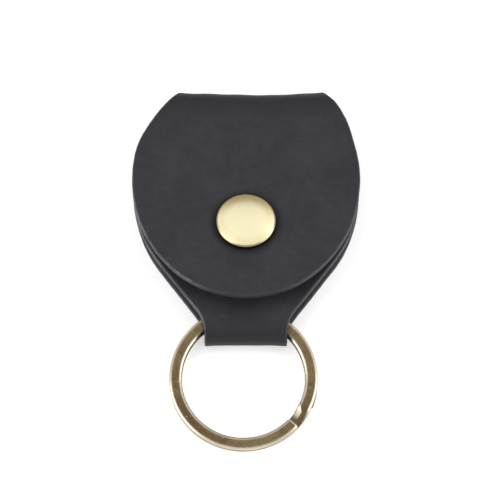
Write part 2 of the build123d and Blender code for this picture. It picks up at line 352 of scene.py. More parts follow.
@dataclass(frozen=True)
class AntiqueBronze:
    """Brushed bronze with a brown patina, worn bright on its bevels, dark in the seam between its turns, and
    darkened on its inner walls, partly as patina and partly as painted shade.
    """

    patina_dark: Colour = (0.115, 0.076, 0.035, 1.0)
    patina_light: Colour = (0.265, 0.198, 0.110, 1.0)
    bright: Colour = (0.88, 0.79, 0.61, 1.0)
    # Dark patina between the turns, also laid on the inner walls partly as painted shade.
    seam: Colour = (0.045, 0.031, 0.018, 1.0)

    def build(self) -> bpy.types.Material:
        """Returns the material."""
        made = Finish("worn_bronze")
        web = made.web
        brushed = made.brushed()
        blotches = made.noise("Object", 330.0, 4.0, 0.6, 0.5)
        nicks = made.noise("Object", 900.0, 2.0, 0.5).step(0.70, 0.76)
        slow = made.noise("Object", 45.0, 1.0, 0.5)
        tone = (brushed * 0.45 + blotches * 0.25 + slow * 0.3).step(0.38, 0.62)
        colour = web.mix(tone, self.patina_dark, self.patina_light)
        wear = made.mask(Mask.BEVEL) * (0.72 + blotches * 0.5)
        colour = web.mix((wear + nicks * 0.75).clamp(), colour, self.bright)
        # The dark line: patina between the turns and, on the inner walls, partly painted shade.
        colour = web.mix(made.mask(Mask.LINE) * 0.9, colour, self.seam)
        return made.finish(
            Base_Color=colour,
            Metallic=1.0,
            Roughness=0.36 + brushed * 0.12 - made.mask(Mask.BEVEL) * 0.10,
            Normal=made.bump(brushed * 0.5 + nicks * -0.6, 0.012 * MM, 0.6),
        )


@dataclass(frozen=True)
class SnapBrass:
    """Pale satin brass, drawn and lacquered, with a darker rim that is painted darkest on the far side as
    shade, and a rolled edge painted near-black as the leather's shadow and reflection.
    """

    base: Colour = (0.86, 0.78, 0.52, 1.0)
    warm: Colour = (0.81, 0.715, 0.43, 1.0)
    # Darker warm brass at the shoulder, laid most strongly on the far side as painted shade.
    rim: Colour = (0.60, 0.475, 0.225, 1.0)
    # Near-black painted shadow and reflection of the leather on the cap's rolled edge.
    edge_shadow: Colour = (0.040, 0.028, 0.013, 1.0)

    def build(self) -> bpy.types.Material:
        """Returns the material."""
        made = Finish("satin_brass")
        web = made.web
        place = made.coordinates("Object")
        clouds = made.noise(place, 260.0, 3.0, 0.55)
        satin = made.noise(place, 5200.0, 3.0, 0.6)
        colour = web.mix(clouds * 0.35, self.base, self.warm)
        # The shoulder's darker tone, strongest on the far side as painted shade.
        colour = web.mix(made.mask(Mask.RIM) * (0.70 + clouds * 0.30), colour, self.rim)
        # Painted shadow: the rolled edge goes near-black, for the leather's shadow and dark reflection.
        colour = web.mix(made.mask(Mask.LINE), colour, self.edge_shadow)
        return made.finish(
            Base_Color=colour,
            Metallic=1.0,
            Roughness=0.19 + satin * 0.08 + made.mask(Mask.LINE) * 0.3,
            Normal=made.bump(satin, 0.004 * MM, 0.35),
        )


@dataclass(frozen=True)
class SpringWire:
    """Drawn spring wire, a little darker than the brass that cages it."""

    base: Colour = (0.47, 0.43, 0.36, 1.0)
    dull: Colour = (0.33, 0.30, 0.25, 1.0)

    def build(self) -> bpy.types.Material:
        """Returns the material."""
        made = Finish("drawn_wire")
        drawn = made.noise("Object", 1800.0, 3.0, 0.6)
        colour = made.web.mix(drawn, self.base, self.dull)
        return made.finish(
            Base_Color=colour,
            Metallic=1.0,
            Roughness=0.24 + drawn * 0.14,
            Normal=made.bump(drawn, 0.003 * MM, 0.4),
        )


@dataclass(frozen=True)
class PaleFloor:
    """Plain pale studio paper."""

    tone: float = 0.90
    glow: float = 0.42

    def build(self) -> bpy.types.Material:
        """Returns the material."""
        made = Finish("pale_floor")
        paper = made.noise("Object", 220.0, 2.0, 0.5)
        colour = made.web.mix(paper, grey(self.tone), grey(self.tone + 0.02))
        glow = {"Emission_Color": (1.0, 1.0, 1.0, 1.0), "Emission_Strength": self.glow}
        return made.finish(Base_Color=colour, Roughness=0.9, Specular_IOR_Level=0.1, **glow)


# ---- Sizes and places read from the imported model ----
@dataclass(frozen=True)
class Layout:
    """Where the leather's folds, the hinges and the hardware lie, in metres."""

    thickness: float
    half_width: float
    half_length: float
    lobe_y: float
    fold_y: float
    fold_radius: float
    loop_y: float
    loop_radius: float
    lean: float
    seam_y: float
    bend_half: float
    mouth_y: float
    front_top: tuple[float, float]
    snap_foot: Vector
    snap_stack: float
    ring_centre: Vector
    ring_axis: Vector
    ring_outer: float

    def oval(self, bearing: Any) -> tuple[Any, Any]:
        """Returns X and Y of the oval lobe's edge at bearings from +X towards +Y."""
        return self.half_width * np.cos(bearing), self.lobe_y + self.half_length * np.sin(bearing)

    @property
    def snap_axis(self) -> Vector:
        """The snap's axis, square to the leaning flap."""
        return Vector((0, math.sin(self.lean), math.cos(self.lean)))

    @classmethod
    def read(cls) -> "Layout":
        """Returns the layout that the frame's boxes and joints give."""
        joints = {joint["name"]: joint for joint in frame["joints"]}
        _, back_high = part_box("back_panel")
        fold_low, fold_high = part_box("top_fold")
        flap_low, flap_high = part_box("flap_panel")
        loop_low, loop_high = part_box("neck_loop")
        front_low, front_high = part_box("front_panel")
        _, socket_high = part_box("snap_socket")
        ring_low, ring_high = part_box("split_ring")
        thickness = back_high[2]
        half_width = flap_high[0]
        share = math.sqrt(1 - (fold_high[0] / half_width) ** 2)
        half_length = (fold_low[1] - flap_low[1]) / (1 + share)
        lean = 0.0
        for _ in range(4):
            drop = front_high[2] - thickness / math.cos(lean) - front_low[2]
            lean = math.atan(drop / (front_high[1] - front_low[1]))
        neck_y = joints["neck_flex"]["pos_m"][1]
        pocket_y = joints["pocket_open"]["pos_m"][1]
        radius = socket_high[0]
        seat_y = socket_high[1] - radius * math.cos(lean)
        seat_z = socket_high[2] - radius * math.sin(lean)
        stack = (seat_y - front_low[1]) * math.sin(lean) + (seat_z - front_high[2]) * math.cos(lean)
        spin = joints["ring_spin"]
        loop_radius = loop_high[2] / 2 - thickness
        return cls(
            thickness=thickness,
            half_width=half_width,
            half_length=half_length,
            lobe_y=flap_low[1] + half_length,
            fold_y=fold_low[1],
            fold_radius=fold_high[1] - fold_low[1] - thickness,
            loop_y=loop_low[1] + loop_radius + thickness,
            loop_radius=loop_radius,
            lean=lean,
            seam_y=(neck_y + pocket_y) / 2,
            bend_half=(pocket_y - neck_y) / 2,
            mouth_y=front_high[1],
            front_top=(front_low[1], front_high[2]),
            snap_foot=Vector((0.0, seat_y - stack * math.sin(lean), seat_z - stack * math.cos(lean))),
            snap_stack=stack,
            ring_centre=Vector(spin["pos_m"]),
            ring_axis=Vector(spin["axis"]).normalized(),
            ring_outer=(ring_high[0] - ring_low[0]) / 2,
        )


class Ripple:
    """Smooth repeatable unevenness: a sum of waves with seeded directions and phases."""

    def __init__(self, seed: int, wavelength: float, waves: int = 9) -> None:
        """Draws the waves.

        Args:
            seed: The seed of the draw.
            wavelength: The usual distance between two crests.
            waves: How many waves are summed.
        """
        draw = np.random.default_rng(seed)
        turn = draw.uniform(0, TURN, waves)
        number = TURN / (wavelength * draw.uniform(0.7, 1.6, waves))
        self.across = number * np.cos(turn)
        self.along = number * np.sin(turn)
        self.phase = draw.uniform(0, TURN, waves)

    def at(self, x: Array, s: Array) -> Array:
        """Returns the height of the ripple, mostly from -1 to 1, at places on the leather."""
        total = np.zeros_like(np.asarray(x, float) + np.asarray(s, float))
        for across, along, phase in zip(self.across, self.along, self.phase):
            total = total + np.sin(across * x + along * s + phase)
        return total / math.sqrt(2 * len(self.phase))


# ---- The leather's route and outline ----
@dataclass(frozen=True)
class Run:
    """One stretch of the leather's mid-line: straight, or bent at an even curvature."""

    length: float
    curvature: float = 0.0


class Route:
    """The leather's mid-line in the YZ plane, from its seam on the back panel."""

    def __init__(self, start: tuple[float, float], heading: float, hair: int, runs: Sequence[Run]) -> None:
        """Lays out the runs.

        Args:
            start: The first point's Y and Z.
            heading: The first direction, in radians from +Y towards +Z.
            hair: 1 if the hair side lies to the left of the direction of travel, -1 if to the right.
            runs: The stretches, in order.
        """
        self.hair = hair
        self.knots = [(0.0, start[0], start[1], heading, 0.0)]
        for run in runs:
            s, y, z, turn, _ = self.knots[-1]
            self.knots[-1] = (s, y, z, turn, run.curvature)
            y, z, turn = self._walk(y, z, turn, run.curvature, run.length)
            self.knots.append((s + run.length, float(y), float(z), float(turn), run.curvature))

    @staticmethod
    def _walk(y: Any, z: Any, turn: Any, curvature: Any, distance: Any) -> tuple:
        """Returns the place and heading a distance further along one run."""
        ahead = turn + curvature * distance
        if curvature == 0.0:
            return y + np.cos(turn) * distance, z + np.sin(turn) * distance, ahead
        side = (np.sin(ahead) - np.sin(turn)) / curvature, (np.cos(turn) - np.cos(ahead)) / curvature
        return y + side[0], z + side[1], ahead

    def at(self, s: Array) -> tuple[Array, Array, Array]:
        """Returns Y, Z and the heading at distances along the route."""
        s = np.asarray(s, float)
        y, z, turn = np.zeros_like(s), np.zeros_like(s), np.zeros_like(s)
        for i, (start, ky, kz, kt, curvature) in enumerate(self.knots[:-1]):
            last = i == len(self.knots) - 2
            here = (s >= start - 1e-12) & ((s < self.knots[i + 1][0]) | last)
            if i == 0:
                here = here | (s < start)
            y[here], z[here], turn[here] = self._walk(ky, kz, kt, curvature, s[here] - start)
        return y, z, turn

    def place(self, x: Array, s: Array, height: Array) -> Array:
        """Returns points in space for places on the flat leather.

        Args:
            x: Across the leather.
            s: Along it, from the seam.
            height: Above the mid-line, towards the hair side.

        Returns:
            One row of X, Y and Z for each point.
        """
        y, z, turn = self.at(s)
        y = y - self.hair * np.sin(turn) * height
        z = z + self.hair * np.cos(turn) * height
        return np.stack([x, y, z], axis=1)


@dataclass
class Blank:
    """The outline that the leather is cut to, seen from above."""

    layout: Layout
    neck_half: float = 9.75 * MM
    neck_straight: float = 5.05 * MM
    neck_fillet: float = 10.0 * MM
    mouth_radius: float = 6.0 * MM

    def __post_init__(self) -> None:
        """Works out where the flare leaves the neck and meets the lobe."""
        lay = self.layout
        corner = lay.loop_y - lay.loop_radius - lay.thickness + self.neck_straight
        across, along = self.neck_half / lay.half_width, (corner - lay.lobe_y) / lay.half_length
        bearing = math.atan2(along, across) + math.acos(1 / math.hypot(across, along))
        self.tangent = lay.oval(bearing)
        self.slope = (self.tangent[1] - corner) / (self.tangent[0] - self.neck_half)
        turn = math.pi / 2 - math.atan(self.slope)
        self.corner = corner
        self.cut_back = self.neck_fillet * math.tan(turn / 2)
        self.fillet_top = corner + self.cut_back * math.sin(math.atan(self.slope))

    def lobe(self, y: Array) -> Array:
        """Returns the oval lobe's half-width at places along Y."""
        lay = self.layout
        share = np.clip((np.asarray(y, float) - lay.lobe_y) / lay.half_length, -1, 1)
        return lay.half_width * np.sqrt(1 - share**2)

    def half_width(self, y: Array) -> Array:
        """Returns the blank's half-width at places along Y, with the neck and its flare."""
        y = np.asarray(y, float)
        base = self.corner - self.cut_back
        reach = np.clip(self.neck_fillet**2 - (y - base) ** 2, 0, None)
        fillet = self.neck_half + self.neck_fillet - np.sqrt(reach)
        flare = self.neck_half + (y - self.corner) / self.slope
        width = np.where(y < base, self.neck_half, np.where(y < self.fillet_top, fillet, flare))
        return np.where(y > self.tangent[1], self.lobe(y), width)

    def mouth(self) -> tuple[float, Vector]:
        """Returns the lobe angle where the mouth's round corner starts, and that corner's centre."""
        lay = self.layout
        low, high = 0.0, math.pi / 2
        for _ in range(60):
            angle = (low + high) / 2
            normal = Vector((math.cos(angle) * lay.half_length, math.sin(angle) * lay.half_width))
            centre = Vector(lay.oval(angle)) - normal.normalized() * self.mouth_radius
            low, high = (angle, high) if centre.y < lay.mouth_y - self.mouth_radius else (low, angle)
        return angle, centre


# ---- Sheets of leather ----
@dataclass
class Sheet:
    """A stretch of leather laid along a route, with burnished cut edges, and cut square at its seams."""

    name: str
    route: Route
    thickness: float
    chains: list[Array]
    rows: Array
    lift: Rule
    # Rubbed wear in the bends, which also sets their painted shade.
    wear: Rule
    # Painted shadow round the cap's rim; none by default.
    press: Rule = lambda x, s: x * 0
    drift: Callable[[Array], Array] = lambda s: s * 0
    edge_radius: float = 0.40 * MM
    edge_steps: int = 4
    # How much edge colour the lower part of a cut edge keeps; the rest stays dark as painted shade.
    shaded_wall_share: float = 0.20
    cut_waves: tuple = ((11 * MM, 0.05 * MM), (2.2 * MM, 0.022 * MM))
    pitch: float = 0.8 * MM
    hole: tuple[float, float] | None = None
    seed: int = 11

    def build(self, material: bpy.types.Material) -> bpy.types.Object:
        """Makes the piece.

        Args:
            material: Its finish.

        Returns:
            The object, in place.
        """
        chains = [self._wobbled(chain) for chain in self.chains]
        inwards = [self._inward(chain) for chain in chains]
        outline, spans = self._outline([c + i * self.edge_radius for c, i in zip(chains, inwards)])
        loops = [outline] if self.hole is None else [outline, self._hole_loop()]
        flat, triangles, numbers = self._fill(loops)
        count = len(flat)
        half = self.thickness / 2
        parts = [(flat, np.full(count, half), 0.0, 0.0), (flat, np.full(count, -half), 0.0, 1.0)]
        faces = [tuple(face) for face in triangles]
        faces += [tuple(count + i for i in face[::-1]) for face in triangles]
        profile = self._edge_profile()
        start = 2 * count
        columns = []
        for chain, inward, (first, last) in zip(chains, inwards, spans):
            rim = numbers[0][first:last]
            rings = [rim]
            for inset, height in profile[1:-1]:
                # Painted light: the upper corner of the cut edge takes the whole edge colour, the lower part
                # only a share of it.
                wall = self.shaded_wall_share + (1 - self.shaded_wall_share) * float(smooth(height / half, 0.25, 0.95))
                parts.append((chain + inward * inset, np.full(len(chain), height), wall, 0.0))
                rings.append(list(range(start, start + len(chain))))
                start += len(chain)
            rings.append([count + i for i in rim])
            for upper, lower in zip(rings, rings[1:]):
                faces += [(upper[i], lower[i], lower[i + 1], upper[i + 1]) for i in range(len(chain) - 1)]
            columns.append(([ring[0] for ring in rings], [ring[-1] for ring in rings]))
        caps = []
        for i, (first, last) in enumerate(spans):
            following = spans[i + 1][0] if i + 1 < len(spans) else len(outline)
            seam = numbers[0][last:following]
            ahead = columns[(i + 1) % len(columns)][0]
            flesh = [count + number for number in seam]
            caps.append(tuple(columns[i][1] + flesh + ahead[::-1] + seam[::-1]))
        if self.hole is not None:
            ring = list(numbers[1]) + [numbers[1][0]]
            faces += [(b, a, count + a, count + b) for a, b in zip(ring, ring[1:])]
        return self._object(parts, faces, caps, material)

    def area(self) -> float:
        """Returns the flat area of the stretch, in square metres."""
        outline, _ = self._outline(self.chains)
        following = np.roll(outline, -1, axis=0)
        return abs(float((outline[:, 0] * following[:, 1] - outline[:, 1] * following[:, 0]).sum() / 2))

    def extent(self) -> tuple[float, float]:
        """Returns the flat width and length that the stretch is cut from."""
        points = np.concatenate(self.chains)
        return float(np.ptp(points[:, 0])), float(np.ptp(points[:, 1]))

    def _wobbled(self, chain: Array) -> Array:
        """Returns a cut edge with the small unevenness of a hand cut, none at its ends."""
        places = np.arange(len(chain))
        fade = np.clip(np.minimum(places, places[::-1]) / 10.0, 0, 1)[:, None]
        ahead = np.gradient(chain, axis=0)
        outward = np.stack([ahead[:, 1], -ahead[:, 0]], axis=1)
        outward /= np.linalg.norm(outward, axis=1)[:, None]
        waves = np.zeros(len(chain))
        for i, (length, height) in enumerate(self.cut_waves):
            waves += Ripple(self.seed + i, length).at(chain[:, 0], chain[:, 1]) * height
        return chain + outward * fade * waves[:, None]

    @staticmethod
    def _inward(chain: Array) -> Array:
        """Returns the inward direction at each point of a cut edge, level with the seam at its ends."""
        ahead = np.gradient(chain, axis=0)
        inward = np.stack([-ahead[:, 1], ahead[:, 0]], axis=1)
        inward /= np.linalg.norm(inward, axis=1)[:, None]
        for end in (0, -1):
            inward[end] = (math.copysign(1.0, inward[end][0]), 0.0)
        return inward

    def _edge_profile(self) -> list[tuple[float, float]]:
        """Returns the cut edge's section as insets and heights, from the hair side to the flesh side."""
        half, radius = self.thickness / 2, self.edge_radius
        turns = [math.pi / 2 * i / self.edge_steps for i in range(self.edge_steps + 1)]
        upper = [(radius * (1 - math.sin(a)), half - radius + radius * math.cos(a)) for a in turns]
        return upper + [(0.0, 0.0)] + [(inset, -height) for inset, height in reversed(upper)]

    def _outline(self, chains: list[Array]) -> tuple[Array, list[tuple[int, int]]]:
        """Joins the free edges by straight seams.

        Args:
            chains: The free edges, in order round the stretch.

        Returns:
            The closed outline, and where each free edge starts and stops in it.
        """
        parts, spans, count = [], [], 0
        for i, chain in enumerate(chains):
            spans.append((count, count + len(chain)))
            end, start = chain[-1], chains[(i + 1) % len(chains)][0]
            steps = max(2, round(float(np.linalg.norm(start - end)) / self.pitch))
            seam = end + (start - end) * np.linspace(0, 1, steps + 1)[1:-1, None]
            parts += [chain, seam]
            count += len(chain) + len(seam)
        return np.concatenate(parts), spans

    def _hole_loop(self) -> Array:
        """Returns the post's hole as a loop, clockwise."""
        radius, s = self.hole
        turns = -np.linspace(0, TURN, 49)[:-1]
        return np.stack([radius * np.cos(turns), s + radius * np.sin(turns)], axis=1)

    def _fill(self, loops: list[Array]) -> tuple[Array, list, list]:
        """Fills the outline with triangles.

        Args:
            loops: The outline, and the hole if there is one.

        Returns:
            The flat points, the triangles, and each loop's point numbers.
        """
        points, edges, numbers = [], [], []
        for loop in loops:
            start = len(points)
            points += [tuple(p / MM) for p in loop]
            numbers.append(list(range(start, len(points))))
            edges += [(start + i, start + (i + 1) % len(loop)) for i in range(len(loop))]
        outline = loops[0] / MM
        grid = self._grid(outline)
        keep = self._inside(grid, outline) & (self._clearance(grid, outline) > 0.45 * self.pitch / MM)
        if self.hole is not None:
            keep &= np.hypot(grid[:, 0], grid[:, 1] - self.hole[1] / MM) > self.hole[0] / MM + 0.3
        points += [tuple(p) for p in grid[keep]]
        made = delaunay_2d_cdt([Vector(p) for p in points], edges, [], 0, 1e-5)
        flat = np.array([tuple(v) for v in made[0]])
        places = {old: new for new, olds in enumerate(made[3]) for old in olds}
        triangles = np.array(made[2])
        middle = flat[triangles].mean(axis=1)
        keep = self._inside(middle, outline)
        if self.hole is not None:
            keep &= np.hypot(middle[:, 0], middle[:, 1] - self.hole[1] / MM) > self.hole[0] / MM * 0.97
        triangles = triangles[keep]
        a, b, c = (flat[triangles[:, i]] for i in range(3))
        (bx, by), (cx, cy) = (b - a).T, (c - a).T
        turn = bx * cy - by * cx
        triangles[turn < 0] = triangles[turn < 0][:, ::-1]
        return flat * MM, triangles.tolist(), [[places[i] for i in group] for group in numbers]

    def _grid(self, outline: Array) -> Array:
        """Returns the inner points in millimetres: rows along the leather, every other one shifted."""
        pitch = self.pitch / MM
        reach = np.abs(outline[:, 0]).max() + pitch
        rows = []
        for i, s in enumerate(self.rows / MM):
            x = np.arange(-reach, reach, pitch) + (pitch / 2 if i % 2 else 0.0)
            rows.append(np.stack([x, np.full(len(x), s)], axis=1))
        return np.concatenate(rows)

    @staticmethod
    def _inside(points: Array, outline: Array) -> Array:
        """Returns which points lie inside a closed outline."""
        result = np.zeros(len(points), bool)
        for (x0, y0), (x1, y1) in zip(outline, np.roll(outline, -1, axis=0)):
            if y0 == y1:
                continue
            crosses = (points[:, 1] > min(y0, y1)) & (points[:, 1] <= max(y0, y1))
            result ^= crosses & (points[:, 0] < x0 + (points[:, 1] - y0) / (y1 - y0) * (x1 - x0))
        return result

    @staticmethod
    def _clearance(points: Array, outline: Array) -> Array:
        """Returns each point's distance to the nearest point of the outline."""
        best = np.full(len(points), np.inf)
        for start in range(0, len(outline), 64):
            part = outline[start:start + 64]
            best = np.minimum(best, np.linalg.norm(points[:, None, :] - part[None, :, :], axis=2).min(axis=1))
        return best

    def _object(self, parts: list, faces: list, caps: list, material: bpy.types.Material) -> bpy.types.Object:
        """Turns places on the flat leather into a mesh object with its masks and its flat map."""
        flat = np.concatenate([part[0] for part in parts])
        height = np.concatenate([part[1] for part in parts])
        x, s = flat[:, 0], flat[:, 1]
        co = self.route.place(x + self.drift(s), s, height + self.lift(x, s))
        polygons = [tuple(face) for face in faces + caps]
        if self.route.hair < 0:
            polygons = [face[::-1] for face in polygons]
        mesh = bpy.data.meshes.new(self.name)
        mesh.from_pydata(co.tolist(), [], polygons)
        mesh.update()
        masks = {
            Mask.CUT: np.concatenate([np.full(len(part[0]), part[2]) for part in parts]),
            Mask.FLESH: np.concatenate([np.full(len(part[0]), part[3]) for part in parts]),
            Mask.BEND: self.wear(x, s),
            Mask.PRESS: self.press(x, s),
        }
        for mask, values in masks.items():
            paint(mesh, mask, values)
        corners = np.zeros(len(mesh.loops), np.int32)
        mesh.loops.foreach_get("vertex_index", corners)
        spread = flat[corners].astype(np.float32).ravel()
        mesh.uv_layers.new(name="blank").data.foreach_set("uv", spread)
        mesh.shade_smooth()
        sharp = {frozenset(pair) for cap in caps for pair in zip(cap, cap[1:] + cap[:1])}
        flags = mesh.attributes.new("sharp_edge", "BOOLEAN", "EDGE")
        flags.data.foreach_set("value", [frozenset(edge.vertices) in sharp for edge in mesh.edges])
        mesh.materials.append(material)
        return link(bpy.data.objects.new(self.name, mesh))


def link(made: bpy.types.Object) -> bpy.types.Object:
    """Puts an object in the scene and returns it."""
    bpy.context.scene.collection.objects.link(made)
    return made


def paint(mesh: bpy.types.Mesh, mask: Mask, values: Sequence[float]) -> None:
    """Writes one of a mesh's masks, with a value for each point."""
    attribute = mesh.attributes.new(mask.value, "FLOAT", "POINT")
    attribute.data.foreach_set("value", np.asarray(values, np.float32))


def report(piece: bpy.types.Object, note: str = "") -> None:
    """Logs a finished piece."""
    log.info("%s: %d faces%s", piece.name, len(piece.data.polygons), note)


def smooth(values: Any, low: float, high: float) -> Array:
    """Returns a smooth step from 0 at low to 1 at high."""
    share = np.clip((np.asarray(values, float) - low) / (high - low), 0, 1)
    return share**2 * (3 - 2 * share)


def bell(offset: Array, width: float) -> Array:
    """Returns a bell curve, 1 where the offset is 0."""
    return np.exp(-((offset / width) ** 2))


@dataclass
class LeatherBody:
    """The holder's leather: one blank folded at the ring and at the top, built in four stretches."""

    layout: Layout
    blank: Blank
    back_seam: float = 8.0 * MM
    fold_split: float = -2.107
    post_hole: float = 2.1 * MM
    cap_radius: float = 7.25 * MM
    cap_dent: float = 0.10 * MM
    edge_curl: float = 0.26 * MM
    loop_curl: float = 0.22 * MM
    fold_sag: float = 0.28 * MM
    crooked: float = 1.25 * MM
    flat_pitch: float = 0.8 * MM
    bend_pitch: float = 0.38 * MM
    relief: float = 0.035 * MM
    fold_relief: float = 0.13 * MM
    tail: float = 60 * MM
    loop_tight: float = 3.5 * MM
    loop_rub_and_shade: tuple = (2.5 * MM, 6.5 * MM)
    fold_tight: float = 4.5 * MM
    fold_rub_and_shade: tuple = (5 * MM, 11 * MM)
    fold_half: float = 21.0 * MM
    cap_flat: tuple = (6 * MM, 11 * MM)
    dent_width: float = 0.7 * MM
    # Where the painted shadow round the cap's rim lies and how wide it is.
    press_out: float = 0.30 * MM
    press_width: float = 0.75 * MM
    fold_bend: tuple = ((0, 39.603 * MM, 3.114 * MM), (0, 42.231 * MM, 5.742 * MM))
    flap_bend: tuple = ((0, 42.131 * MM, 3.021 * MM), (0, 39.703 * MM, 5.835 * MM))

    def __post_init__(self) -> None:
        """Lays out the two routes that leave the seam where the top fold starts."""
        lay = self.layout
        middle = lay.thickness / 2
        loop_mid, fold_mid = lay.loop_radius + middle, lay.fold_radius + middle
        start = (lay.fold_y - self.back_seam, middle)
        self.to_loop = start[0] - lay.loop_y
        self.round_loop = (math.pi + lay.lean) * loop_mid
        round_fold = (math.pi - lay.lean) * fold_mid
        runs = [Run(self.to_loop), Run(self.round_loop, -1 / loop_mid), Run(self.tail)]
        self.lower = Route(start, math.pi, 1, runs)
        runs = [Run(self.back_seam), Run(round_fold, 1 / fold_mid), Run(self.tail)]
        self.upper = Route(start, 0.0, -1, runs)
        self.front_start = self.to_loop + self.round_loop
        self.loop_middle = self.to_loop + self.round_loop / 2
        self.fold_end = self.back_seam + round_fold
        self.fold_middle = (self.back_seam + self.fold_end) / 2
        self.fold_seam = self.back_seam + math.radians(90 + self.fold_split) * fold_mid
        cap_y = lay.snap_foot.y + (lay.snap_stack + lay.thickness) * math.sin(lay.lean)
        self.cap_s = self._s_where(self.upper, cap_y, self.fold_end)
        self.front_seam = self._s_where(self.lower, lay.seam_y, self.front_start)
        self.mouth_end = self._s_where(self.lower, lay.mouth_y, self.front_start)

    def _s_where(self, route: Route, y: float, start: float) -> float:
        """Returns the distance along a straight last run whose hair side is at y."""
        first, second = (self._outer_y(route, s) for s in (start, start + 10 * MM))
        return start + (y - first) / (second - first) * 10 * MM

    def _outer_y(self, route: Route, s: float) -> float:
        """Returns Y of the hair side, at a distance along a route."""
        at = np.array([s])
        return float(route.place(at * 0, at, at * 0 + self.layout.thickness / 2)[0, 1])

    def _side(self, route: Route, places: Array, width: Callable) -> Array:
        """Returns the right-hand cut edge at distances along a route."""
        outer = route.place(places * 0, places, places * 0 + self.layout.thickness / 2)[:, 1]
        return np.stack([width(outer), places], axis=1)

    def _rows(self, start: float, stop: float, bends: Sequence[tuple[float, float]]) -> Array:
        """Returns distances along the leather, closer together in its bends."""
        rows = [start]
        while rows[-1] < stop:
            near = any(low - MM < rows[-1] < high + MM for low, high in bends)
            rows.append(rows[-1] + (self.bend_pitch if near else self.flat_pitch))
        rows = np.array(rows)
        return start + (rows - start) * (stop - start) / (rows[-1] - start)

    @staticmethod
    def _mirrored(side: Array) -> Array:
        """Returns the left-hand cut edge for a right-hand one, in the order that closes the loop."""
        return side[::-1] * (-1, 1)

    def lower_lift(self, x: Array, s: Array) -> Array:
        """Returns the unevenness of the loop and the front layer; the back panel lies flat."""
        rise = smooth(s, self.to_loop - 2 * MM, self.to_loop + 6 * MM)
        slow = Ripple(31, 13 * MM).at(x, s)
        quick = Ripple(32, 4.5 * MM).at(x, s)
        tight = bell(s - self.loop_middle, self.loop_tight)
        to_edge = np.clip(self.blank.neck_half - np.abs(x), 0, None)
        curl = tight * self.loop_curl * np.exp(-to_edge / (1.6 * MM))
        return rise * self.relief * (slow + 0.45 * quick) + curl

    def upper_lift(self, x: Array, s: Array) -> Array:
        """Returns the unevenness of the fold, which is drawn up into soft creases, and of the flap."""
        slow = Ripple(41, 15 * MM).at(x, s)
        quick = Ripple(42, 7.0 * MM).at(x, s * 1.6)
        from_cap = np.hypot(x, s - self.cap_s)
        dent = self.cap_dent * bell(from_cap - self.cap_radius, self.dent_width)
        begin = smooth(s, self.back_seam, self.back_seam + 4 * MM)
        fold = 1 - smooth(s, self.fold_end + 1 * MM, self.fold_end + 9 * MM)
        waves = self.relief * (slow + 0.4 * quick) + fold * self.fold_relief * 0.5 * (slow + quick)
        waves = waves * smooth(from_cap, *self.cap_flat)
        middle = self.fold_middle
        to_edge = np.clip(self.fold_half - 0.45 * np.abs(middle - s) - np.abs(x) - 3 * MM, 0, None)
        curl = self.edge_curl * np.exp(-to_edge / (2 * MM)) + self.fold_sag * np.exp(-to_edge / (8 * MM))
        return begin * (waves + bell(s - middle, self.fold_tight) * curl) - dent

    def upper_drift(self, s: Array) -> Array:
        """Returns how far the leather sits to one side, because the top fold is a little crooked."""
        rise = smooth(s, 1 * MM, self.back_seam + 4 * MM)
        return self.crooked * rise * (1 - smooth(s, self.fold_end - 2 * MM, self.fold_end + 13 * MM))

    def upper_press(self, x: Array, s: Array) -> Array:
        """Returns the painted shadow ring that darkens the flap round the cap's rim."""
        from_rim = np.hypot(x, s - self.cap_s) - self.cap_radius
        return bell(from_rim - self.press_out, self.press_width)

    def lower_wear_and_shade(self, x: Array, s: Array) -> Array:
        """Returns how far the leather is rubbed by its bend round the ring, which also sets the painted shade
        there.
        """
        return 1 - smooth(np.abs(s - self.loop_middle), *self.loop_rub_and_shade)

    def upper_wear_and_shade(self, x: Array, s: Array) -> Array:
        """Returns how far the leather is rubbed by the top fold, which also sets the painted shade there."""
        return 1 - smooth(np.abs(s - self.fold_middle), *self.fold_rub_and_shade)

    def stretches(self) -> list[Sheet]:
        """Returns the four stretches."""
        foot_s = self._s_where(self.lower, self.layout.snap_foot.y, self.front_start)
        lower_rows = self._rows(0.0, self.front_seam, [(self.to_loop, self.front_start)])
        fold_rows = self._rows(0.0, self.fold_seam, [(self.back_seam, self.fold_end)])
        back = self._side(self.lower, lower_rows, self.blank.half_width)
        fold = self._side(self.upper, fold_rows, self.blank.lobe)
        flap, front = self._flap_edge(), self._front_edge()
        flap_rows = self._rows(self.fold_seam, flap[:, 1].max(), [(self.fold_seam, self.fold_end)])
        front_rows = self._rows(self.front_seam, self.mouth_end, [])
        return [
            self._stretch("leather_back", self.lower, [back, self._mirrored(back)], lower_rows, 11),
            self._stretch("leather_fold", self.upper, [fold, self._mirrored(fold)], fold_rows, 13),
            self._stretch("leather_flap", self.upper, [flap], flap_rows, 15, self.cap_s),
            self._stretch("leather_front", self.lower, [front], front_rows, 17, foot_s),
        ]

    def _stretch(
        self, name: str, route: Route, chains: list[Array], rows: Array, seed: int, hole: float | None = None
    ) -> Sheet:
        """Describes one stretch.

        Args:
            name: The piece's name.
            route: The lower or the upper route.
            chains: Its free edges.
            rows: Where its rows of points lie, the first and last on its ends.
            seed: The seed of its edges' unevenness.
            hole: How far along the post's hole is, if it has one.

        Returns:
            The stretch.
        """
        # Each route's bend rule sets both rubbed wear and painted shade.
        shape = {"lift": self.lower_lift, "wear": self.lower_wear_and_shade}
        if route is self.upper:
            shape = {"lift": self.upper_lift, "wear": self.upper_wear_and_shade, "drift": self.upper_drift}
            # The flap also takes the painted shadow round the cap's rim.
            shape["press"] = self.upper_press
        post = None if hole is None else (self.post_hole, hole)
        return Sheet(name, route, self.layout.thickness, chains, rows[1:-1], hole=post, seed=seed,
                     pitch=self.flat_pitch, **shape)

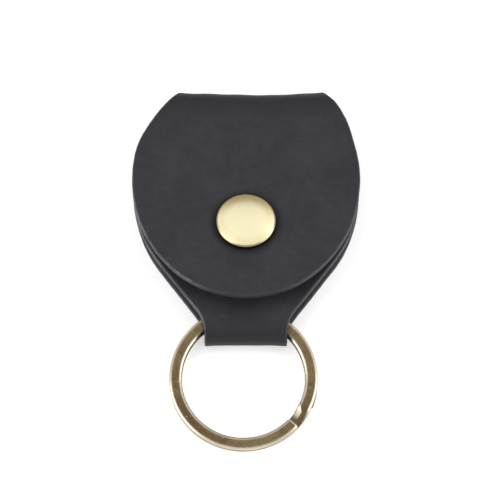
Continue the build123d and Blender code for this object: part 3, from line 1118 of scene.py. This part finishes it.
    def _flap_edge(self) -> Array:
        """Returns the flap's cut edge, from the fold's seam round its free end and back."""
        lay = self.layout
        bend = self._rows(self.fold_seam, self.fold_end, [(self.fold_seam, self.fold_end)])
        first = self._side(self.upper, bend, self.blank.lobe)
        start = self._outer_y(self.upper, self.fold_end)
        turns = np.linspace(math.asin((start - lay.lobe_y) / lay.half_length), -math.pi / 2, 150)[1:]
        x, y = lay.oval(turns)
        s = self.fold_end + (start - y) / math.cos(lay.lean)
        right = np.concatenate([first, np.stack([x, s], axis=1)])
        right[-1, 0] = 0.0
        return np.concatenate([right, self._mirrored(right)[1:]])

    def _front_edge(self) -> Array:
        """Returns the front layer's cut edge, from its seam round the mouth and back."""
        lay = self.layout
        angle, centre = self.blank.mouth()
        low = self._rows(self.front_seam, self._s_where(self.lower, lay.lobe_y, self.front_start), [])
        side = self._side(self.lower, low, self.blank.half_width)[:-1]
        lobe_turns = np.linspace(0, angle, 22)[:-1]
        normal = math.atan2(math.sin(angle) * lay.half_width, math.cos(angle) * lay.half_length)
        corner_turns = np.linspace(normal, math.pi / 2, 16)
        lobe_x, lobe_y = lay.oval(lobe_turns)
        x = np.concatenate([lobe_x, centre.x + self.blank.mouth_radius * np.cos(corner_turns)])
        y = np.concatenate([lobe_y, centre.y + self.blank.mouth_radius * np.sin(corner_turns)])
        s = self.mouth_end - (lay.mouth_y - y) / math.cos(lay.lean)
        right = np.concatenate([side, np.stack([x, s], axis=1)])
        steps = round(2 * right[-1, 0] / self.flat_pitch)
        mouth = np.linspace(right[-1], right[-1] * (-1, 1), steps + 1)[1:-1]
        return np.concatenate([right, mouth, self._mirrored(right)])

    def build(self, material: bpy.types.Material) -> list[bpy.types.Object]:
        """Makes the four stretches, and hides the imported parts that they replace.

        Args:
            material: The leather.

        Returns:
            The four objects.
        """
        seam, bend = self.layout.seam_y, 2 * self.layout.bend_half
        start, up, down = (0, seam, 0), (0, seam + bend, 0), (0, seam - bend, 0)
        bends = {
            "leather_back": ("holder", "neck", start, down, ("back_panel", "neck_loop", "front_root")),
            "leather_fold": ("holder", "fold", *self.fold_bend, ("top_fold",)),
            "leather_flap": ("fold", "flap", *self.flap_bend, ("flap_panel",)),
            "leather_front": ("holder", "pocket_front", start, up, ("front_panel",)),
        }
        made = []
        for sheet in self.stretches():
            piece = sheet.build(material)
            first, second, start, end, nodes = bends[sheet.name]
            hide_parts(*nodes)
            sheet.extent()
            sheet.area()
            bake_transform(piece)
            made.append(piece)
            report(piece, f", blends {first} to {second}")
        return made


# ---- Metal ----
class Growth:
    """A Geometry Nodes tree and the plain mesh that it grows into."""

    def __init__(self, name: str, sizes: dict[str, float]) -> None:
        """Starts a tree with named inputs.

        Args:
            name: The name of the tree and of its piece.
            sizes: The inputs' names and values.
        """
        self.name = name
        self.sizes = sizes
        self.tree = bpy.data.node_groups.new(name, "GeometryNodeTree")
        self.tree.interface.new_socket("Geometry", in_out="INPUT", socket_type="NodeSocketGeometry")
        self.tree.interface.new_socket("Geometry", in_out="OUTPUT", socket_type="NodeSocketGeometry")
        self.identifiers = {}
        for key in sizes:
            socket = self.tree.interface.new_socket(key, in_out="INPUT", socket_type="NodeSocketFloat")
            self.identifiers[key] = socket.identifier
        self.web = NodeWeb(self.tree)
        self.inputs = self.web.node("NodeGroupInput")

    def size(self, name: str) -> Expression:
        """Returns one of the named inputs."""
        return Expression(self.web, self.inputs.outputs[name])

    def store(self, geometry: Any, name: str, value: Any, kind: str = "FLOAT") -> Expression:
        """Stores an attribute on the points and returns the geometry."""
        sockets = {"Geometry": geometry, "Name": name, "Value": value}
        settings = {"data_type": kind, "domain": "POINT"}
        return self.web.value("GeometryNodeStoreNamedAttribute", 0, settings, sockets)

    def move(self, geometry: Any, place: Vector, tilt: float, scale: float = 1.0) -> Expression:
        """Scales the geometry, tilts it about X and puts it in its place."""
        sockets = {"Translation": tuple(place), "Rotation": (tilt, 0.0, 0.0), "Scale": (scale,) * 3}
        return self.web.value("GeometryNodeTransform", 0, None, {"Geometry": geometry, **sockets})

    def grow(self, geometry: Any, material: bpy.types.Material) -> bpy.types.Object:
        """Ends the tree, runs it, and returns its result as a plain mesh object."""
        web = self.web
        real = web.value("GeometryNodeRealizeInstances", 0, None, {"Geometry": geometry})
        dressed = web.value("GeometryNodeSetMaterial", 0, None, {"Geometry": real, "Material": material})
        web.node("NodeGroupOutput", None, {"Geometry": dressed})
        seed = link(bpy.data.objects.new(f"{self.name}_seed", bpy.data.meshes.new(f"{self.name}_seed")))
        modifier = seed.modifiers.new("growth", "NODES")
        modifier.node_group = self.tree
        for key, value in self.sizes.items():
            modifier[self.identifiers[key]] = float(value)
        bpy.context.view_layer.update()
        grown = seed.evaluated_get(bpy.context.evaluated_depsgraph_get())
        mesh = bpy.data.meshes.new_from_object(grown)
        seed.modifiers.remove(modifier)
        bpy.data.objects.remove(seed)
        mesh.name = self.name
        if not mesh.materials:
            mesh.materials.append(material)
        return link(bpy.data.objects.new(self.name, mesh))


@dataclass
class SplitRing:
    """A flat band wound twice round the key ring, which steps from its upper turn down to its lower one."""

    layout: Layout
    band: float = 3.0 * MM
    turn: float = 1.25 * MM
    gap: float = 0.05 * MM
    face_bevel: float = 0.50 * MM
    side_bevel: float = 0.34 * MM
    seam_bevel: float = 0.12 * MM
    upper_end: float = 317.0
    jog_start: float = -25.5
    jog_end: float = -42.5
    lower_end: float = -384.5
    end_bevel: float = 0.22 * MM
    flare_face: float = 1.9 * MM
    flare_side: float = 0.45 * MM
    splay: float = 0.22 * MM
    splay_span: float = 22.0
    lie_offset: float = -0.6 * MM
    # How dark the inner walls are painted, partly patina and partly painted shade.
    inner_patina_and_shade: float = 1.0
    outer_wear: float = 0.5
    roundness: float = 22.0
    section_points: int = 72
    stations: int = 760

    def build(self, material: bpy.types.Material) -> bpy.types.Object:
        """Winds the ring.

        Args:
            material: The bronze.

        Returns:
            The ring, in place.
        """
        lay = self.layout
        middle = lay.ring_outer - self.band / 2
        sizes = {
            "Middle radius": middle / MM,
            "Half band": self.band / 2 / MM,
            "Half turn": self.turn / 2 / MM,
            "Face bevel": self.face_bevel / MM,
            "Side bevel": self.side_bevel / MM,
            "Seam bevel": self.seam_bevel / MM,
        }
        growth = Growth("key_ring", sizes)
        web, size = growth.web, growth.size
        ends = {"Vertices": self.section_points, "Side Segments": self.stations}
        ends |= {"Radius": 1.0, "Depth": 1.0}
        tube = web.value("GeometryNodeMeshCylinder", "Mesh", {"fill_type": "NGON"}, ends)
        position = web.value("GeometryNodeInputPosition", 0)
        place = web.node("ShaderNodeSeparateXYZ", None, {0: position})
        across, up, along = (Expression(web, place.outputs[i]) for i in range(3))
        share = (along + 0.5).clamp()
        degrees_round = self.upper_end - share * (self.upper_end - self.lower_end)
        jog = self.jog_start - self.jog_end
        down = (self.jog_start - degrees_round).step(0.0, jog)

        def shifted(above: str, below: str) -> Expression:
            """Returns a bevel that goes from one named size to another as the band steps down."""
            return size(above) + (size(below) - size(above)) * down

        top_face, top_side = shifted("Face bevel", "Seam bevel"), shifted("Side bevel", "Seam bevel")
        low_face, low_side = shifted("Seam bevel", "Face bevel"), shifted("Seam bevel", "Side bevel")
        side_plane = web.math("ABSOLUTE", across) / size("Half band")
        face_plane = web.math("ABSOLUTE", up) / size("Half turn")
        inner = web.math("GREATER_THAN", 0.0, across)
        opened = (self.jog_start - degrees_round).step(0.5, 0.65 * jog)
        shut = (self.jog_end - 1.5 - degrees_round).step(0.0, 10.0)
        flare = inner * opened * (1.0 - shut)
        top_face = top_face + flare * (self.flare_face / MM)
        top_side = top_side + flare * (self.flare_side / MM)
        walls = side_plane**self.roundness
        flanks = walls + face_plane**self.roundness
        top_bevel = self._bevel(growth, across, up, top_face, top_side)
        low_bevel = self._bevel(growth, across, up * -1.0, low_face, low_side)
        total = flanks + top_bevel + low_bevel
        reach = total ** (-1.0 / self.roundness)
        length = TURN * middle / MM * (self.upper_end - self.lower_end) / 360
        to_end = web.math("MINIMUM", share, 1.0 - share) * length
        reach = reach * (1.0 - (1.0 - (to_end / 0.3).clamp()) * (self.end_bevel / self.turn))
        splay = (self.lower_end + self.splay_span - degrees_round).step(0.0, self.splay_span)
        radius = size("Middle radius") + reach * across + splay * (self.splay / MM)
        height = (1.0 - down) * ((self.turn + self.gap) / MM) + size("Half turn") + reach * up
        turn = web.math("RADIANS", degrees_round)
        x, y = radius * web.math("COSINE", turn), radius * web.math("SINE", turn)
        spot = web.value("ShaderNodeCombineXYZ", 0, None, {0: x, 1: y, 2: height})
        bright = (top_bevel * web.math("MAXIMUM", 1.0 - down, flare * 0.7) + low_bevel * down) / total
        # Dark: patina on the bevels that face the other turn, and the inner walls, darkened partly as painted
        # shade.
        dark = (top_bevel * down + low_bevel * (1.0 - down) + walls * inner * self.inner_patina_and_shade) / total
        bright = bright + walls * (1.0 - inner) * self.outer_wear / total
        parts = {0: share * length, 1: reach * across, 2: reach * up}
        along_band = web.value("ShaderNodeCombineXYZ", 0, None, parts)
        end_glint = 1.0 - (to_end / 0.45).clamp()
        geometry = growth.store(tube, Mask.BEVEL.value, (bright + end_glint * 0.7).clamp())
        geometry = growth.store(geometry, Mask.LINE.value, dark)
        geometry = growth.store(geometry, "band", along_band, "FLOAT_VECTOR")
        sockets = {"Geometry": geometry, "Position": spot}
        geometry = web.value("GeometryNodeSetPosition", 0, None, sockets)
        axis = lay.ring_axis
        foot = lay.ring_centre - axis * (self.turn + self.gap / 2) + Vector((self.lie_offset, 0, 0))
        ring = growth.grow(growth.move(geometry, foot, math.atan2(-axis.y, axis.z), MM), material)
        ring.data.shade_smooth()
        sharpen(ring.data, 40.0)
        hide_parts("split_ring")
        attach(ring, "ring")
        report(ring)
        return ring

    def _bevel(
        self, growth: Growth, across: Expression, up: Expression, face: Expression, side: Expression
    ) -> Expression:
        """Returns how strongly a pair of bevels holds a direction from the section's middle.

        Args:
            growth: The ring's tree.
            across: The direction's part across the band.
            up: Its part towards the bevels.
            face: How far the bevels cut into the flat face.
            side: How far they cut into the walls.

        Returns:
            The share that the bevels take, before it is divided by the total.
        """
        web, size = growth.web, growth.size
        sideways = web.math("ABSOLUTE", across)
        reach = size("Half band") * side + (size("Half turn") - side) * face
        toward = (sideways * side + web.math("MAXIMUM", up, 0.0) * face) / reach
        above = web.math("GREATER_THAN", up, 0.0)
        return (toward**self.roundness) * above


def sharpen(mesh: bpy.types.Mesh, angle: float) -> None:
    """Marks a mesh's edges that turn by more than an angle, in degrees, as sharp."""
    work = bmesh.new()
    work.from_mesh(mesh)
    limit = math.radians(angle)
    for edge in work.edges:
        edge.smooth = len(edge.link_faces) != 2 or edge.calc_face_angle(0.0) < limit
    work.to_mesh(mesh)
    work.free()


def lathe(name: str, profile: Profile, foot: Vector, lean: float, steps: int = 144) -> bpy.types.Mesh:
    """Turns a closed section round the snap's axis.

    Args:
        name: The mesh's name.
        profile: Radii and heights in metres. A point at radius 0 becomes a pole.
        foot: The point where the heights start.
        lean: The axis's lean from +Z towards +Y, in radians.
        steps: How many facets go round.

    Returns:
        The mesh, in place.
    """
    placed = Matrix.Translation(foot) @ Matrix.Rotation(-lean, 4, "X")
    work = bmesh.new()
    rings = []
    for radius, height in profile:
        turns = [0.0] if radius == 0.0 else [TURN * i / steps for i in range(steps)]
        points = [Vector((radius * math.cos(a), radius * math.sin(a), height)) for a in turns]
        ring = [work.verts.new(placed @ point) for point in points]
        rings.append(ring if len(ring) > 1 else ring * steps)
    for lower, upper in zip(rings, rings[1:] + rings[:1]):
        for i in range(steps):
            j = (i + 1) % steps
            corners = list(dict.fromkeys((lower[i], lower[j], upper[j], upper[i])))
            if len(corners) > 2:
                work.faces.new(corners)
    bmesh.ops.recalc_face_normals(work, faces=work.faces)
    mesh = bpy.data.meshes.new(name)
    work.to_mesh(mesh)
    work.free()
    mesh.shade_smooth()
    return mesh


@dataclass
class SnapCap:
    """The snap's cap: a shallow pressed dome with a rounded shoulder and a lip rolled under its edge."""

    layout: Layout
    radius: float = 7.25 * MM
    height: float = 1.75 * MM
    shoulder: float = 1.15 * MM
    sheet: float = 0.35 * MM
    lip: float = 1.0 * MM
    # Heights and insets of the painted shadow on the rolled edge.
    shade_height: tuple = (0.82 * MM, 1.16 * MM)
    shade_in: tuple = (1.6 * MM, 0.6 * MM)
    rim_in: tuple = (3.2 * MM, 1.2 * MM)
    # Where the painted shade on the shoulder grows towards the far side, and how much of it the near side
    # keeps.
    far_shade_span: tuple = (0.5 * MM, 5.5 * MM)
    near_share: float = 0.22

    def build(self, material: bpy.types.Material) -> bpy.types.Object:
        """Presses the cap.

        Args:
            material: The brass.

        Returns:
            The cap, in place.
        """
        lay = self.layout
        base = lay.snap_stack + lay.thickness
        edge, drop = self.radius - self.shoulder / 2, self.shoulder / 2
        dome = (edge**2 + drop**2) / (2 * drop)
        sweep = math.asin(edge / dome)
        top = base + self.height

        def arc(radius: float, turns: Array) -> list[tuple[float, float]]:
            """Returns points on a dome about the pressed dome's centre."""
            return [(radius * math.sin(a), top - dome + radius * math.cos(a)) for a in turns]

        profile = [(0.0, top)] + arc(dome, np.linspace(0, sweep, 22)[1:])
        profile += self._shoulder(profile[-1], sweep, base)
        under = base + self.sheet
        tip = self.radius - self.lip
        profile += [(tip, base + 0.01 * MM), (tip, under), (self.radius - 1.5 * self.sheet, under)]
        profile += arc(dome - self.sheet, np.linspace(sweep, 0, 12)[:-1])
        profile += [(0.0, top - self.sheet)]
        mesh = lathe("snap_cap_dome", profile, lay.snap_foot, lay.lean)
        cap = link(bpy.data.objects.new("snap_cap_dome", mesh))
        mesh.materials.append(material)
        self._mark(mesh, base)
        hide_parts("snap_cap")
        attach(cap, "flap")
        report(cap)
        return cap

    def _shoulder(self, start: tuple[float, float], sweep: float, base: float) -> list[tuple[float, float]]:
        """Returns the rounded shoulder and the rolled edge below it."""
        rim = base + self.sheet
        points = []
        for share in np.linspace(0, 1, 14)[1:]:
            a = sweep + (math.pi / 2 - sweep) * share
            r = start[0] + (self.radius - start[0]) * (math.sin(a) - math.sin(sweep)) / (1 - math.sin(sweep))
            h = rim + (start[1] - rim) * math.cos(a) / math.cos(sweep)
            points.append((r, h))
        roll = self.sheet * 0.8
        for share in np.linspace(0, 1, 8)[1:]:
            a = math.pi / 2 * share
            points.append((self.radius - roll * (1 - math.cos(a)), rim - self.sheet * math.sin(a)))
        return points

    def _mark(self, mesh: bpy.types.Mesh, base: float) -> None:
        """Marks the shoulder, where the plating is darker, most of all on the far side as painted shade, and
        the rolled edge, painted dark as the shadow and reflection of the leather.
        """
        lay = self.layout
        axis = lay.snap_axis
        roll_shade, rim_and_far_shade = [], []
        for vertex in mesh.vertices:
            arm = vertex.co - lay.snap_foot
            height = arm.dot(axis) - base
            radius = (arm - axis * arm.dot(axis)).length
            # Painted shadow and reflection of the leather, on the rolled edge below the shoulder.
            low = 1 - float(smooth(height, *self.shade_height))
            roll_shade.append(low * float(smooth(radius, *(self.radius - inset for inset in self.shade_in))))
            # Painted shade: the shoulder's tone is strongest on the far side of the cap, weakest on the near
            # side.
            far = self.near_share + (1 - self.near_share) * float(smooth(arm.y, *self.far_shade_span))
            rim_and_far_shade.append(far * float(smooth(radius, *(self.radius - inset for inset in self.rim_in))))
        paint(mesh, Mask.LINE, roll_shade)
        paint(mesh, Mask.RIM, rim_and_far_shade)


@dataclass
class SnapSpring:
    """The socket's split ring of round wire, which closes under the stud's bulb."""

    layout: Layout
    wire: float = 0.62 * MM
    coil: float = 2.99 * MM
    middle: float = 1.49 * MM
    gap_angle: float = 40.0

    def build(self, material: bpy.types.Material) -> bpy.types.Object:
        """Bends the wire.

        Args:
            material: The spring wire.

        Returns:
            The spring, in place.
        """
        lay = self.layout
        growth = Growth("snap_spring_wire", {"Coil radius": self.coil, "Wire radius": self.wire / 2})
        web = growth.web
        by_radius = {"mode": "RADIUS"}
        bend = {"Start Angle": math.radians(90), "Sweep Angle": math.radians(360 - self.gap_angle)}
        bend |= {"Resolution": 96, "Radius": growth.size("Coil radius")}
        around = {"Resolution": 20, "Radius": growth.size("Wire radius")}
        arc = web.value("GeometryNodeCurveArc", 0, by_radius, bend)
        section = web.value("GeometryNodeCurvePrimitiveCircle", 0, by_radius, around)
        sockets = {"Curve": arc, "Profile Curve": section, "Fill Caps": True}
        swept = web.value("GeometryNodeCurveToMesh", 0, None, sockets)
        centre = lay.snap_foot + lay.snap_axis * self.middle
        spring = growth.grow(growth.move(swept, centre, -lay.lean), material)
        spring.data.shade_smooth()
        sharpen(spring.data, 50.0)
        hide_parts("snap_spring")
        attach(spring, "flap")
        report(spring)
        return spring


# ---- Studio ----
@dataclass(frozen=True)
class SoftBox:
    """One large soft light, aimed at the holder."""

    name: str
    place: tuple[float, float, float]
    width: float
    height: float
    power: float

    def build(self, target: Vector) -> bpy.types.Object:
        """Hangs the light.

        Args:
            target: The point that it faces.

        Returns:
            The light.
        """
        data = bpy.data.lights.new(self.name, "AREA")
        data.shape = "RECTANGLE"
        data.size, data.size_y = self.width, self.height
        data.energy = self.power
        light = link(bpy.data.objects.new(self.name, data))
        light.location = self.place
        light.rotation_euler = (target - Vector(self.place)).to_track_quat("-Z", "Y").to_euler()
        return light


@dataclass
class Studio:
    """The pale floor, the soft light and the camera."""

    elevation: float = 67.0
    distance: float = 0.550
    lens: float = 163.4
    sensor: float = 36.0
    target: tuple[float, float, float] = (0.00095, 0.0060, 0.0)
    floor_size: float = 3.0
    ambient: float = 0.47
    boxes: tuple[SoftBox, ...] = (
        SoftBox("left_box", (-0.46, -0.16, 0.30), 0.44, 0.36, 1.15),
        SoftBox("right_box", (0.46, -0.08, 0.30), 0.44, 0.36, 1.05),
        SoftBox("top_box", (0.0, 0.25, 0.55), 0.70, 0.46, 0.66),
        SoftBox("front_box", (0.0, -0.50, 0.26), 0.60, 0.26, 0.20),
        SoftBox("upper_left_box", (-0.200, 0.055, 0.500), 0.22, 0.16, 0.155),
        SoftBox("upper_right_box", (0.215, 0.200, 0.450), 0.14, 0.12, 0.075),
    )

    def build(self) -> None:
        """Sets up the studio."""
        self._floor()
        self._world()
        for box in self.boxes:
            box.build(Vector(self.target))
        self._camera()
        log.info("studio: %d lights", len(self.boxes))

    def _floor(self) -> None:
        """Lays the floor under the holder."""
        half = self.floor_size / 2
        low = CAD_BOX[0][2] - 0.0001
        mesh = bpy.data.meshes.new("studio_floor")
        corners = [(-half, -half, low), (half, -half, low), (half, half, low), (-half, half, low)]
        mesh.from_pydata(corners, [], [(0, 1, 2, 3)])
        mesh.materials.append(PaleFloor().build())
        link(bpy.data.objects.new("studio_floor", mesh))

    def _world(self) -> None:
        """Fills the room with even white light."""
        world = bpy.data.worlds.new("studio_world")
        world.use_nodes = True
        background = world.node_tree.nodes["Background"]
        background.inputs["Color"].default_value = grey(1.0)
        background.inputs["Strength"].default_value = self.ambient
        bpy.context.scene.world = world

    def _camera(self) -> None:
        """Stands the camera over the ring's end, looking down."""
        data = bpy.data.cameras.new("studio_camera")
        data.lens = self.lens
        data.sensor_width = self.sensor
        data.clip_start, data.clip_end = 0.01, 10.0
        camera = link(bpy.data.objects.new("studio_camera", data))
        angle = math.radians(self.elevation)
        target = Vector(self.target)
        camera.location = target + Vector((0, -math.cos(angle), math.sin(angle))) * self.distance
        camera.rotation_euler = (math.radians(90 - self.elevation), 0.0, 0.0)
        bpy.context.scene.camera = camera
        bpy.context.scene.view_settings.view_transform = "Standard"


# ---- The holder ----
@dataclass
class HiddenHardware:
    """The snap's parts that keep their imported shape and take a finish."""

    finishes: dict[str, bpy.types.Material]

    def dress(self) -> None:
        """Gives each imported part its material."""
        for name, material in self.finishes.items():
            node = bpy.data.objects[name]
            if not node.material_slots:
                node.data.materials.append(material)
            for slot in node.material_slots:
                slot.material = material
            log.info("%s: dressed in %s", name, material.name)


def main() -> None:
    """Builds the holder, its hardware and the studio."""
    logging.basicConfig(level=logging.INFO, format="%(name)s: %(message)s")
    layout = Layout.read()
    log.info("layout: %s", layout)
    Studio().build()
    leather = Leather().build()
    bronze = AntiqueBronze().build()
    brass = SnapBrass().build()
    wire = SpringWire().build()
    LeatherBody(layout, Blank(layout)).build(leather)
    SplitRing(layout).build(bronze)
    SnapCap(layout).build(brass)
    SnapSpring(layout).build(wire)
    hidden = ("snap_barrel", "snap_socket", "snap_stud", "snap_eyelet")
    HiddenHardware({name: brass for name in hidden}).dress()


if __name__ == "__main__":
    main()
